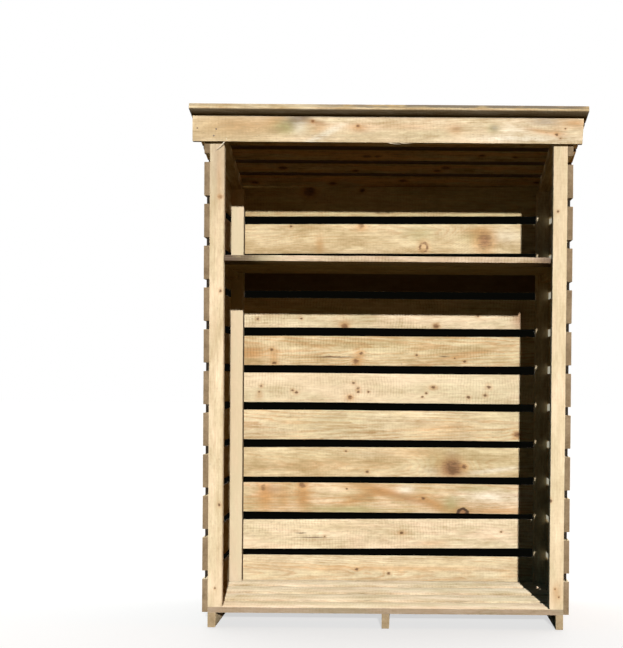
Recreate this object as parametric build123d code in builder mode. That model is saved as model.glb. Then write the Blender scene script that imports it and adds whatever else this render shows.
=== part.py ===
"""Tall open-fronted log store in sawn softwood: a slatted box under a pent roof, with one shelf.

Millimetres, +Z up. The open front faces -Y and the roof falls towards +Y. The origin is on the
ground, under the middle of the roof. Depths are measured back from the front faces of the front
posts, and the whole store is then placed so that its middle comes over the origin.
"""
from build123d import *
import math
import os

# Frame
frame_width = 1200.0  # over the outer faces of the posts
frame_depth = 558.0  # front faces of the front posts to rear faces of the back posts
post_width = 47.0  # left to right
post_depth = 44.0  # front to back

board_thickness = 19.0  # of every board

# Floor
bearer_width = 25.0
bearer_height = 50.0
bearer_count = 3
floor_board_count = 4
floor_gap = 36.7

# Walls
wall_board_count = 11  # full boards up the back and up each side
wall_gap = 28.3
wall_board_rise = 1.4  # lowest wall board over the top of the bearers
wall_head_clearance = 6.7  # highest back board under the roof boards
taper_slat_tip = 12.0  # height left at the thin end of the tapered side slat

# Shelf
shelf_height = 1236.0  # underside of the shelf boards over the ground
shelf_board_count = 3
shelf_gap = 32.0
shelf_end_clearance = 2.0  # shelf boards to the side slats
shelf_bearer_width = 30.0
shelf_bearer_height = 28.0
notch_clearance_left = 1.0  # front shelf board to the left post
notch_clearance_right = 7.0  # front shelf board to the right post
notch_clearance_back = 2.0  # front shelf board to the rear faces of the front posts

# Roof
ceiling_height = 1717.0  # underside of the roof boards over the front faces of the posts
roof_angle = 14.0  # degrees, falling to the back
roof_board_shares = (22, 22, 22, 26, 24, 33)  # widths against each other, front to back
roof_gap = 16.5
roof_front_overhang = 60.0
roof_back_overhang = 20.0  # behind the back boards
roof_side_overhang = 62.0
fascia_side_overhang = 56.0
rafter_width = 38.0
rafter_depth = 36.0
fascia_height = 85.0

# Worked out from the sizes above
half_width = frame_width / 2
slope_sine = math.sin(math.radians(roof_angle))
slope_cosine = math.cos(math.radians(roof_angle))
slope = math.tan(math.radians(roof_angle))
floor_bottom = bearer_height
floor_top = floor_bottom + board_thickness
wall_outer_width = frame_width + 2 * board_thickness
wall_back = frame_depth + board_thickness
shelf_top = shelf_height + board_thickness
roof_width = frame_width + 2 * roof_side_overhang
fascia_width = frame_width + 2 * fascia_side_overhang
roof_back = wall_back + roof_back_overhang + board_thickness * slope_sine
roof_length = (roof_front_overhang + wall_back + roof_back_overhang) / slope_cosine
front_y = (roof_front_overhang - roof_back) / 2
back_post_front = frame_depth - post_depth


def ceiling_at(depth):
    """Height of the underside of the roof boards at a depth behind the front faces of the posts."""
    return ceiling_height - depth * slope


def post_top_at(depth):
    """Height of the underside of the rafters at a depth behind the front faces of the posts."""
    return ceiling_at(depth) - rafter_depth / slope_cosine


def board_width(length, count, gap):
    """Width of each of the boards that fill a length with even gaps."""
    return (length - (count - 1) * gap) / count


def save(piece, name):
    """Labels a finished piece and writes it under its name."""
    piece.label = name
    export_step(piece, f"parts/{name}.step")


def straight_timber(left, right, front, back, bottom, top):
    """A square-cut piece of timber, as it lies in the store."""
    with BuildPart() as timber:
        with BuildSketch(Plane.XY.offset(bottom)):
            with Locations(((left + right) / 2, front_y + (front + back) / 2)):
                Rectangle(right - left, back - front)
        extrude(amount=top - bottom)
    return timber.part


def bevelled_timber(left, right, profile):
    """A piece of timber with a side profile of (depth, height) corners, cut to the roof slope."""
    with BuildPart() as timber:
        with BuildSketch(Plane.YZ.offset(left)):
            with BuildLine():
                Polyline([(front_y + depth, height) for depth, height in profile], close=True)
            make_face()
        extrude(amount=right - left)
    return timber.part


# Lower edges of the wall boards, the same on the back and the sides
wall_bottom = floor_bottom + wall_board_rise
wall_height = ceiling_at(wall_back) - wall_head_clearance - wall_bottom
wall_board_width = board_width(wall_height, wall_board_count, wall_gap)
wall_pitch = wall_board_width + wall_gap
wall_rows = [wall_bottom + row * wall_pitch for row in range(wall_board_count)]

os.makedirs("parts", exist_ok=True)

# Bearers on edge under the floor, flush with the front and the sides
bearer_pitch = (frame_width - bearer_width) / (bearer_count - 1)
for number in range(bearer_count):
    bearer_left = number * bearer_pitch - half_width
    bearer = straight_timber(
        bearer_left, bearer_left + bearer_width, 0, wall_back, 0, bearer_height
    )
    save(bearer, f"ground_bearer_{number + 1}")

# Floor boards across the bearers, the first and the last under the posts
floor_board_width = board_width(frame_depth, floor_board_count, floor_gap)
for number in range(floor_board_count):
    floor_front = number * (floor_board_width + floor_gap)
    floor_back = floor_front + floor_board_width
    floor_board = straight_timber(
        -half_width, half_width, floor_front, floor_back, floor_bottom, floor_top
    )
    save(floor_board, f"floor_board_{number + 1}")

# Posts on the floor boards, their tops cut to the slope of the rafters
post_sides = {"left": -half_width, "right": half_width - post_width}
post_rows = {"front": 0, "back": back_post_front}
for side, post_left in post_sides.items():
    for row_name, post_front in post_rows.items():
        post_back = post_front + post_depth
        post = bevelled_timber(
            post_left,
            post_left + post_width,
            [
                (post_front, floor_top),
                (post_back, floor_top),
                (post_back, post_top_at(post_back)),
                (post_front, post_top_at(post_front)),
            ],
        )
        save(post, f"{row_name}_post_{side}")

# Back boards on the rear faces of the back posts, covering the ends of the side slats
for row, board_bottom in enumerate(wall_rows):
    back_board = straight_timber(
        -wall_outer_width / 2,
        wall_outer_width / 2,
        frame_depth,
        wall_back,
        board_bottom,
        board_bottom + wall_board_width,
    )
    save(back_board, f"back_board_{row + 1:02d}")

# Side slats on the outer faces of the posts, level with the back boards, with a last one above
# them that is cut along the underside of the roof and tapers away to the back
taper_bottom = wall_rows[-1] + wall_pitch
taper_length = min((ceiling_height - taper_bottom - taper_slat_tip) / slope, frame_depth)
roof_underside = Plane(
    origin=(0, front_y, ceiling_height),
    x_dir=(1, 0, 0),
    z_dir=(0, slope_sine, slope_cosine),
)
slat_sides = {"left": -wall_outer_width / 2, "right": half_width}
for side, slat_left in slat_sides.items():
    with BuildPart() as side_slats:
        for board_bottom in wall_rows:
            with BuildSketch(Plane.XY.offset(board_bottom)):
                with Locations((slat_left + board_thickness / 2, front_y + frame_depth / 2)):
                    Rectangle(board_thickness, frame_depth)
            extrude(amount=wall_board_width)
    save(side_slats.part, f"side_slats_{side}")
    with BuildPart() as tapered_slat:
        with BuildSketch(Plane.XY.offset(taper_bottom)):
            with Locations((slat_left + board_thickness / 2, front_y + taper_length / 2)):
                Rectangle(board_thickness, taper_length)
        extrude(amount=wall_board_width)
        split(bisect_by=roof_underside, keep=Keep.BOTTOM)
    save(tapered_slat.part, f"tapered_slat_{side}")

# Shelf bearers between the front and back posts, in line with them
shelf_bearer_sides = {"left": -half_width, "right": half_width - shelf_bearer_width}
for side, shelf_bearer_left in shelf_bearer_sides.items():
    shelf_bearer = straight_timber(
        shelf_bearer_left,
        shelf_bearer_left + shelf_bearer_width,
        post_depth,
        back_post_front,
        shelf_height - shelf_bearer_height,
        shelf_height,
    )
    save(shelf_bearer, f"shelf_bearer_{side}")

# Front shelf board, notched round the front posts to lie flush with them
shelf_board_width = board_width(back_post_front, shelf_board_count, shelf_gap)
shelf_half_length = half_width - shelf_end_clearance
notch_depth = post_depth + notch_clearance_back
notch_left = post_width - half_width + notch_clearance_left
notch_right = half_width - post_width - notch_clearance_right
with BuildPart() as front_shelf_board:
    with BuildSketch(Plane.XY.offset(shelf_height)):
        with BuildLine():
            Polyline(
                (notch_left, front_y),
                (notch_right, front_y),
                (notch_right, front_y + notch_depth),
                (shelf_half_length, front_y + notch_depth),
                (shelf_half_length, front_y + shelf_board_width),
                (-shelf_half_length, front_y + shelf_board_width),
                (-shelf_half_length, front_y + notch_depth),
                (notch_left, front_y + notch_depth),
                close=True,
            )
        make_face()
    extrude(amount=board_thickness)
save(front_shelf_board.part, "shelf_board_1")

# Other shelf boards, the last against the back posts
for number in range(1, shelf_board_count):
    shelf_front = number * (shelf_board_width + shelf_gap)
    shelf_board = straight_timber(
        -shelf_half_length,
        shelf_half_length,
        shelf_front,
        shelf_front + shelf_board_width,
        shelf_height,
        shelf_top,
    )
    save(shelf_board, f"shelf_board_{number + 1}")

# Rafters on the sloping tops of the posts, plumb cut at both ends
rafter_sides = {"left": -half_width, "right": half_width - rafter_width}
for side, rafter_left in rafter_sides.items():
    rafter = bevelled_timber(
        rafter_left,
        rafter_left + rafter_width,
        [
            (0, post_top_at(0)),
            (frame_depth, post_top_at(frame_depth)),
            (frame_depth, ceiling_at(frame_depth)),
            (0, ceiling_at(0)),
        ],
    )
    save(rafter, f"rafter_{side}")

# Fascia across the front, square cut, its rear top edge meeting the roof boards
fascia = straight_timber(
    -fascia_width / 2,
    fascia_width / 2,
    -board_thickness,
    0,
    ceiling_height - fascia_height,
    ceiling_height,
)
save(fascia, "fascia")

# Roof boards along the rafters' upper faces, from the front overhang to the back
roof_plane = Plane(
    origin=(0, front_y - roof_front_overhang, ceiling_at(-roof_front_overhang)),
    x_dir=(1, 0, 0),
    z_dir=(0, slope_sine, slope_cosine),
)
share_width = (roof_length - (len(roof_board_shares) - 1) * roof_gap) / sum(roof_board_shares)
roof_board_front = 0.0
for number, share in enumerate(roof_board_shares):
    roof_board_width = share * share_width
    with BuildPart() as roof_board:
        with BuildSketch(roof_plane):
            with Locations((0, roof_board_front + roof_board_width / 2)):
                Rectangle(roof_width, roof_board_width)
        extrude(amount=board_thickness)
    save(roof_board.part, f"roof_board_{number + 1}")
    roof_board_front += roof_board_width + roof_gap
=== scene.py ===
"""Dresses the log store: every piece of timber is sawn, eased and laid again over its plain solid."""
import math
import random
from dataclasses import dataclass
import bpy
from bpy.props import FloatProperty, FloatVectorProperty, PointerProperty
from mathutils import Matrix, Vector


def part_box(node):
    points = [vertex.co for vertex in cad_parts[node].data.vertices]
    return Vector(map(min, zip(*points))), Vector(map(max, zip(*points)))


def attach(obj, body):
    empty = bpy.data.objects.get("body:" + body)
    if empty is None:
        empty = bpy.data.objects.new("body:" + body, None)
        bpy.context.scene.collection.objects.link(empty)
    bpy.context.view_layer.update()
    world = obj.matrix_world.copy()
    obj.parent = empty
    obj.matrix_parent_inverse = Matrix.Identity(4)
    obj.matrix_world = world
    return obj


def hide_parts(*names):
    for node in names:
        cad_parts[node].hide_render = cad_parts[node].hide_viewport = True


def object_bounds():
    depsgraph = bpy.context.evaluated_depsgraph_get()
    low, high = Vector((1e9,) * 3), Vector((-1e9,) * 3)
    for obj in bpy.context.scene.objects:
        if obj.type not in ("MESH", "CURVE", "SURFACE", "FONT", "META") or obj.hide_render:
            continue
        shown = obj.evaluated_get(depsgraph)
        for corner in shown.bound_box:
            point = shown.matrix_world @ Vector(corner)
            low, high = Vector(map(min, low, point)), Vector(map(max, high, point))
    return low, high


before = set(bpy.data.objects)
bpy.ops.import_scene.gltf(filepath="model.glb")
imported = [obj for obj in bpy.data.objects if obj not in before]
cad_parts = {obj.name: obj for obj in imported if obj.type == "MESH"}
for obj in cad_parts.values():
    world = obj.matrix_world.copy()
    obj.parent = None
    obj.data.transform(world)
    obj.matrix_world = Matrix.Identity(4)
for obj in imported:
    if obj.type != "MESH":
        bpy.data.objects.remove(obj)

bl_info = {
    "name": "Log Store",
    "version": (1, 0, 0),
    "blender": (4, 5, 0),
    "location": "View3D > Sidebar > Log Store",
    "description": "Sawn timber, nails, finishes and studio for a slatted log store",
    "category": "Object",
}

MM = 0.001
CAD_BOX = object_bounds()


def middle_of(node):
    """Centre of a node of the frame."""
    low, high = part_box(node)
    return (low + high) / 2


def size_of(node):
    """Extents of a node of the frame along the three axes."""
    low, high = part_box(node)
    return high - low


def roof_fall():
    """Angle by which the roof boards fall to the back, from the first and the last of them."""
    first_low, first_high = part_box("roof_board_1")
    last_low, last_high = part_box("roof_board_6")
    return math.atan2(first_low.z - last_low.z, last_high.y - first_high.y)


FRONT_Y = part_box("front_post_left")[0].y
WALL_BACK_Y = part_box("back_board_01")[1].y
POST_OUTER_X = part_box("front_post_right")[1].x
BOARD_THICKNESS = size_of("fascia").y
ROOF_FALL = roof_fall()
FALL_SINE = math.sin(ROOF_FALL)
FALL_COSINE = math.cos(ROOF_FALL)
SHARP_ANGLE = math.radians(40)  # an edge that turns by more than this is sharp
WALL_NAIL_SHARES = (-0.26, 0.26)  # of a wall board's width, from its middle
WHITE = (1, 1, 1)

X, Y, Z = range(3)
RIGHT = Vector((1, 0, 0))
LEFT = Vector((-1, 0, 0))
FRONT = Vector((0, -1, 0))
BACK = Vector((0, 1, 0))
UP = Vector((0, 0, 1))
DOWN_THE_ROOF = Vector((0, FALL_COSINE, -FALL_SINE))
OUT_OF_THE_ROOF = Vector((0, FALL_SINE, FALL_COSINE))

# How a piece of timber lies: the directions of its length, its width and its thickness
ALONG_X_UPRIGHT = (RIGHT, UP, FRONT)
ALONG_X_FLAT = (RIGHT, BACK, UP)
ALONG_Y_UPRIGHT = (BACK, UP, RIGHT)
UP_THE_POST = (UP, RIGHT, BACK)
ROOF_BOARD_LIE = (RIGHT, DOWN_THE_ROOF, OUT_OF_THE_ROOF)
RAFTER_LIE = (DOWN_THE_ROOF, OUT_OF_THE_ROOF, RIGHT)


def size_setting(name, description, millimetres):
    """A length that a user may change."""
    return FloatProperty(name=name, description=description, default=millimetres * MM, unit="LENGTH")


def colour_setting(name, description, *default):
    """A colour that a user may change."""
    return FloatVectorProperty(
        name=name, description=description, default=default, subtype="COLOR", size=3
    )


class TimberSizes(bpy.types.PropertyGroup):
    arris: size_setting("Arris", "Width of the rounding on each edge of a sawn piece", 1.1)
    cut_spacing: size_setting(
        "Cut spacing", "Distance between the cross cuts that let a piece bend along its length", 24
    )
    warp: size_setting("Warp", "How far a board wanders from straight", 3.2)
    saw_wave: size_setting("Saw wave", "Unevenness that the saw leaves along the edges", 0.9)
    nail_head: size_setting("Nail head", "Diameter of the nail heads", 5.5)


class TimberColours(bpy.types.PropertyGroup):
    cream: colour_setting("Cream", "Pale early wood of the cleanest boards", 0.88, 0.76, 0.53)
    honey: colour_setting("Honey", "Yellower early wood", 0.74, 0.59, 0.345)
    pink: colour_setting("Pink", "Rosy early wood", 0.86, 0.67, 0.47)
    amber: colour_setting("Amber", "Orange heartwood and late wood", 0.64, 0.35, 0.125)
    knot: colour_setting("Knot", "Heart of a knot", 0.19, 0.095, 0.04)
    moss: colour_setting(
        "Preservative green", "Green tinge where the preservative has gathered", 0.52, 0.46, 0.21
    )
    red: colour_setting("Red knot", "Heart of a large live knot", 0.47, 0.25, 0.12)
    weathered: colour_setting("Weathered", "Grey brown of boards that the rain reaches", 0.46, 0.38, 0.29)
    bleached: colour_setting("Bleached", "Pale patches that the sun has whitened", 0.93, 0.86, 0.72)
    # Besides dirt, this colour is painted shade: under the front roof board, on the front of back_board_09,
    # in and along the roof boards' gaps and along the fascia's top edge
    grime: colour_setting(
        "Grime", "Dark dirt in the rough edges of the roof boards and the shelf", 0.12, 0.065, 0.035
    )
    end_grain: colour_setting(
        "End grain", "Brown of the sawn ends, which take up more weather", 0.27, 0.18, 0.10
    )
    steel: colour_setting("Nail steel", "Dull grey of the nail heads", 0.30, 0.29, 0.27)
    rust: colour_setting("Rust", "Rust on the nail heads", 0.20, 0.08, 0.03)


class StudioSettings(bpy.types.PropertyGroup):
    key_strength: FloatProperty(
        name="Key strength",
        description="Strength of the frontal key lamp",
        default=3.3,
    )
    key_angle: FloatProperty(
        name="Key softness",
        description="Angle over which the key lamp spreads",
        default=math.radians(0.8),
        subtype="ANGLE",
    )
    front_fill: FloatProperty(
        name="Front fill",
        description="Brightness of the surroundings in front of the store",
        default=0.05,
    )
    rear_fill: FloatProperty(
        name="Rear fill",
        description="Brightness of the surroundings above and behind the store",
        default=1.2,
    )


class Wire:
    """An output of a shader node. Python's operators on it add Math or Vector Math nodes."""

    def __init__(self, recipe, socket):
        self.recipe = recipe
        self.socket = socket

    def _join(self, operation, first, second):
        """Adds a Math node, or a Vector Math node where one of the two values is a vector."""
        values = [first, second]
        is_vector = any(
            isinstance(value, tuple) or (isinstance(value, Wire) and value.socket.type == "VECTOR")
            for value in values
        )
        kind = "ShaderNodeVectorMath" if is_vector else "ShaderNodeMath"
        if is_vector:
            values = [(v, v, v) if isinstance(v, (int, float)) else v for v in values]
        return self.recipe.node(kind, {"operation": operation}, {0: values[0], 1: values[1]})

    def __add__(self, other):
        return self._join("ADD", self, other)

    def __radd__(self, other):
        return self._join("ADD", other, self)

    def __sub__(self, other):
        return self._join("SUBTRACT", self, other)

    def __rsub__(self, other):
        return self._join("SUBTRACT", other, self)

    def __mul__(self, other):
        return self._join("MULTIPLY", self, other)

    def __rmul__(self, other):
        return self._join("MULTIPLY", other, self)

    def __truediv__(self, other):
        return self._join("DIVIDE", self, other)

    def __pow__(self, other):
        return self._join("POWER", self, other)


class Recipe:
    """The nodes of a material or a world, with the few kinds that a finish is mixed from."""

    def __init__(self, owner):
        self.owner = owner
        owner.use_nodes = True
        self.tree = owner.node_tree

    def node(self, kind, settings, inputs, output=0):
        """Adds a node of a type with its settings, then the values or links of its sockets."""
        made = self.tree.nodes.new(kind)
        for setting, value in settings.items():
            setattr(made, setting, value)
        self.fill(made, inputs)
        return Wire(self, made.outputs[output])

    def fill(self, node, inputs):
        """Gives sockets of a node their values or links."""
        for key, value in inputs.items():
            socket = node.inputs[key]
            if isinstance(value, Wire):
                self.tree.links.new(value.socket, socket)
            elif socket.type == "RGBA":
                socket.default_value = (*value, 1)
            else:
                socket.default_value = value

    def use_shader(self, shader):
        """Feeds the surface from another shader than the one that a new material has."""
        self.tree.nodes.remove(self.tree.nodes["Principled BSDF"])
        self.fill(self.tree.nodes["Material Output"], {"Surface": shader})

    def attribute(self, name, output):
        """Something that the mesh stores for each point or face."""
        return self.node("ShaderNodeAttribute", {"attribute_name": name}, {}, output)

    def split(self, vector):
        """The three parts of a vector."""
        first = self.node("ShaderNodeSeparateXYZ", {}, {0: vector})
        return [Wire(self, socket) for socket in first.socket.node.outputs]

    def one(self, operation, value):
        """A Math node on one value, with 1 for the second where it needs one."""
        return self.node("ShaderNodeMath", {"operation": operation}, {0: value, 1: 1.0})

    def noise(self, place, scale, detail=2.0, roughness=0.5, output="Fac"):
        """Cloudy noise between 0 and 1."""
        inputs = {"Vector": place, "Scale": scale, "Detail": detail, "Roughness": roughness}
        return self.node("ShaderNodeTexNoise", {}, inputs, output)

    def grain(self, place, pattern, output="Fac"):
        """Noise drawn out along the grain, by the name of its pattern."""
        long, wide, detail, roughness = GRAIN_PATTERNS[pattern]
        stretched = place * (1 / (long * MM), 1 / (wide * MM), 1 / (wide * MM))
        return self.noise(stretched, 1.0, detail, roughness, output)

    def rise(self, value, low, high):
        """0 below low, 1 above high, and smooth between."""
        settings = {"interpolation_type": "SMOOTHSTEP"}
        inputs = {"Value": value, "From Min": low, "From Max": high}
        return self.node("ShaderNodeMapRange", settings, inputs)

    def mix(self, share, first, second):
        """The second colour over the first, by a share."""
        settings = {"data_type": "RGBA", "clamp_factor": True}
        return self.node("ShaderNodeMix", settings, {0: share, 6: first, 7: second}, 2)

    def shade(self, colour, level):
        """A colour made lighter or darker by a level about 1."""
        return self.node("ShaderNodeVectorMath", {"operation": "SCALE"}, {0: colour, "Scale": level})

    def spot(self, along, across, long_radius, wide_radius):
        """1 in the middle of an oval spot, fading to 0 round it."""
        reach = (along / long_radius) ** 2 + (across / wide_radius) ** 2
        return self.one("EXPONENT", reach * -1.0)


@dataclass
class Look:
    """How one board looks and lies. Its places and sizes are in millimetres from its middle."""

    tone: str = "cream"  # main colour
    second: str = "honey"  # colour of its patches
    patch: float = 0.5  # strength of the patches
    contrast: float = 0.5  # strength of the late wood
    ring: float = 5.0  # width of a growth ring
    pith: tuple = None  # the log's heart, sideways and inwards from the board, or drawn at random
    knots: tuple = ()  # each one's place along and across, its radius and its kind
    stains: tuple = ()  # along, across, half length, half width, colour, strength and slant
    cracks: tuple = ()  # along, across and half length
    marks: float = 1.0  # unevenness of the colour
    saw: float = 0.5  # strength of the saw marks
    aged: float = 0.0  # share of grey
    dirt: float = 0.0  # grime in streaks
    ends: float = 0.85  # darkness of the sawn ends
    edges: float = 0.0  # darkening of the narrow faces: painted shade in the roof boards' gaps, and darker front and back faces on the front floor board
    rained_on: float = 0.0  # darkness of the outer face
    painted_inner_shade: float = 0.0  # painted shade on the inner face
    painted_outer_shade: float = 0.0  # painted shade on the outer face
    painted_gap_shade: float = 0.0  # metres from the middle at which painted shade gathers along the gaps
    rough: float = 0.6  # diffuse roughness
    lift: float = 0.0  # how far the board lies over its node
    tilt: float = 0.0  # degrees out of level


# Noise along the grain: the length and width of its features in millimetres, detail and roughness
GRAIN_PATTERNS = {
    "drift": (660, 250, 2.0, 0.5),
    "ring strength": (400, 26, 2.0, 0.5),
    "patch": (330, 90, 3.0, 0.6),
    "streak": (240, 5, 3.0, 0.6),
    "saw patch": (190, 60, 2.0, 0.5),
    "saw wander": (160, 50, 2.0, 0.5),
    "cloud": (150, 42, 2.0, 0.55),
    "grime": (120, 12, 4.0, 0.75),
    "ripple": (110, 8, 3.0, 0.6),
    "fibre": (70, 1.6, 1.0, 0.5),
    "mottle": (26, 9, 3.0, 0.65),
    "speck": (15, 5.5, 1.0, 0.5),
    "tear": (13, 6, 3.0, 0.7),
}

# Parts of a knot, in radii from its heart: where each one starts, if not at the heart, and ends
KNOT_PARTS = {
    "heart": (None, (0.35, 1.15)),
    "body": (None, (0.5, 1.5)),
    "halo": (None, (0.6, 2.7)),
    "rim": ((0.35, 0.7), (1.0, 1.25)),
    "bark": ((0.5, 0.9), (1.0, 1.4)),
}

# Coats of each kind of knot, in turn: the part, its even strength, its strength in strokes, its colour
KNOT_COATS = {
    "dark": (("halo", 0.4, 0, "amber"), ("heart", 0.9, 0, "knot")),
    "red": (
        ("halo", 0.5, 0, "amber"), ("heart", 0.7, 0, "red"),
        ("heart", 0, 0.55, "knot"), ("bark", 0, 0.4, "knot"),
    ),
    "smear": (
        ("halo", 0.6, 0, "amber"), ("body", 0.85, 0, "red"),
        ("body", 0, 0.8, "knot"), ("heart", 0.35, 0, "knot"),
    ),
    "rim": (("halo", 0.35, 0, "amber"), ("heart", 0.9, 0, "red"), ("rim", 1.0, 0, "grime")),
    "ring": (("halo", 0.45, 0, "amber"), ("bark", 0.25, 0.6, "red"), ("bark", 0, 0.7, "knot")),
}
ROUND_KNOTS = ("red", "ring")
ROUND_STRETCH = 0.8  # length of a knot along the board, by its width
OVAL_STRETCH = 1.25
TORN_KNOT = 9  # millimetres: a knot of a larger radius has a less ragged edge
BENDING_KNOT = 6  # millimetres: a knot of a smaller radius doesn't bend the rings


def growth_rings(recipe, look, along, across, side, deep, place):
    """Darkness of the late wood: rings round the pith, bent past each knot."""
    taper = 0.035  # thinning of the log
    radius = (side ** 2 + deep ** 2) ** 0.5 + along * taper
    for knot_along, knot_across, knot_radius, *_ in look.knots:
        if knot_radius < BENDING_KNOT:
            continue
        reach = knot_radius * MM
        bulge_long = 3.4 * reach + 5 * MM
        bulge_wide = 1.8 * reach + 3 * MM
        bulge = recipe.spot(along - knot_along * MM, across - knot_across * MM, bulge_long, bulge_wide)
        radius = radius + bulge * (1.2 * reach)
    ring = radius / (look.ring * MM) + (recipe.grain(place, "ripple") - 0.5) * 1.4
    phase = recipe.one("FRACT", ring)
    late = recipe.rise(phase, 0.35, 0.88) - recipe.rise(phase, 0.90, 1.0)
    return late * recipe.rise(recipe.grain(place, "ring strength"), 0.30, 0.56)


def knots_of(recipe, look, colours, colour, along, across, ragged, mottle):
    """Hearts, bark rings and halos of the knots, painted over the board's colour."""
    strokes = recipe.rise(mottle, 0.40, 0.60)
    for knot_along, knot_across, knot_radius, *kind in look.knots:
        kind = kind[0] if kind else "dark"
        reach = knot_radius * MM
        stretch = ROUND_STRETCH if kind in ROUND_KNOTS else OVAL_STRETCH
        away_along = (along - knot_along * MM) / (stretch * reach)
        away_across = (across - knot_across * MM) / reach
        torn = ragged * min(1.0, TORN_KNOT / knot_radius)
        distance = (away_along ** 2 + away_across ** 2) ** 0.5 + torn
        masks = {}
        for part, even, in_strokes, tint in KNOT_COATS[kind]:
            if part not in masks:
                start, end = KNOT_PARTS[part]
                inside = recipe.rise(distance, *start) if start else 1.0
                masks[part] = inside - recipe.rise(distance, *end)
            strength = strokes * in_strokes + even if in_strokes else even
            colour = recipe.mix(masks[part] * strength, colour, getattr(colours, tint))
    return colour


def stains_of(recipe, look, colours, colour, along, across, broken):
    """Stains, each an oval that the grain breaks up."""
    for stain_along, stain_across, stain_long, stain_wide, tint, strength, *slant in look.stains:
        away_along = along - stain_along * MM
        away_across = across - stain_across * MM
        if slant:
            away_across = away_across - away_along * slant[0]
        spread = recipe.spot(away_along, away_across, stain_long * MM, stain_wide * MM) * broken
        colour = recipe.mix(spread * strength, colour, getattr(colours, tint))
    return colour


def cracks_of(recipe, look, colours, colour, along, across, mottle):
    """Thin dark cracks that wander along the grain."""
    crack_width = 2.2 * MM
    wander = (mottle - 0.5) * (6 * MM)
    for crack_along, crack_across, half_length in look.cracks:
        away_across = across - crack_across * MM + wander
        line = recipe.spot(along - crack_along * MM, away_across, half_length * MM, crack_width)
        colour = recipe.mix(line, colour, colours.knot)
    return colour


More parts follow.
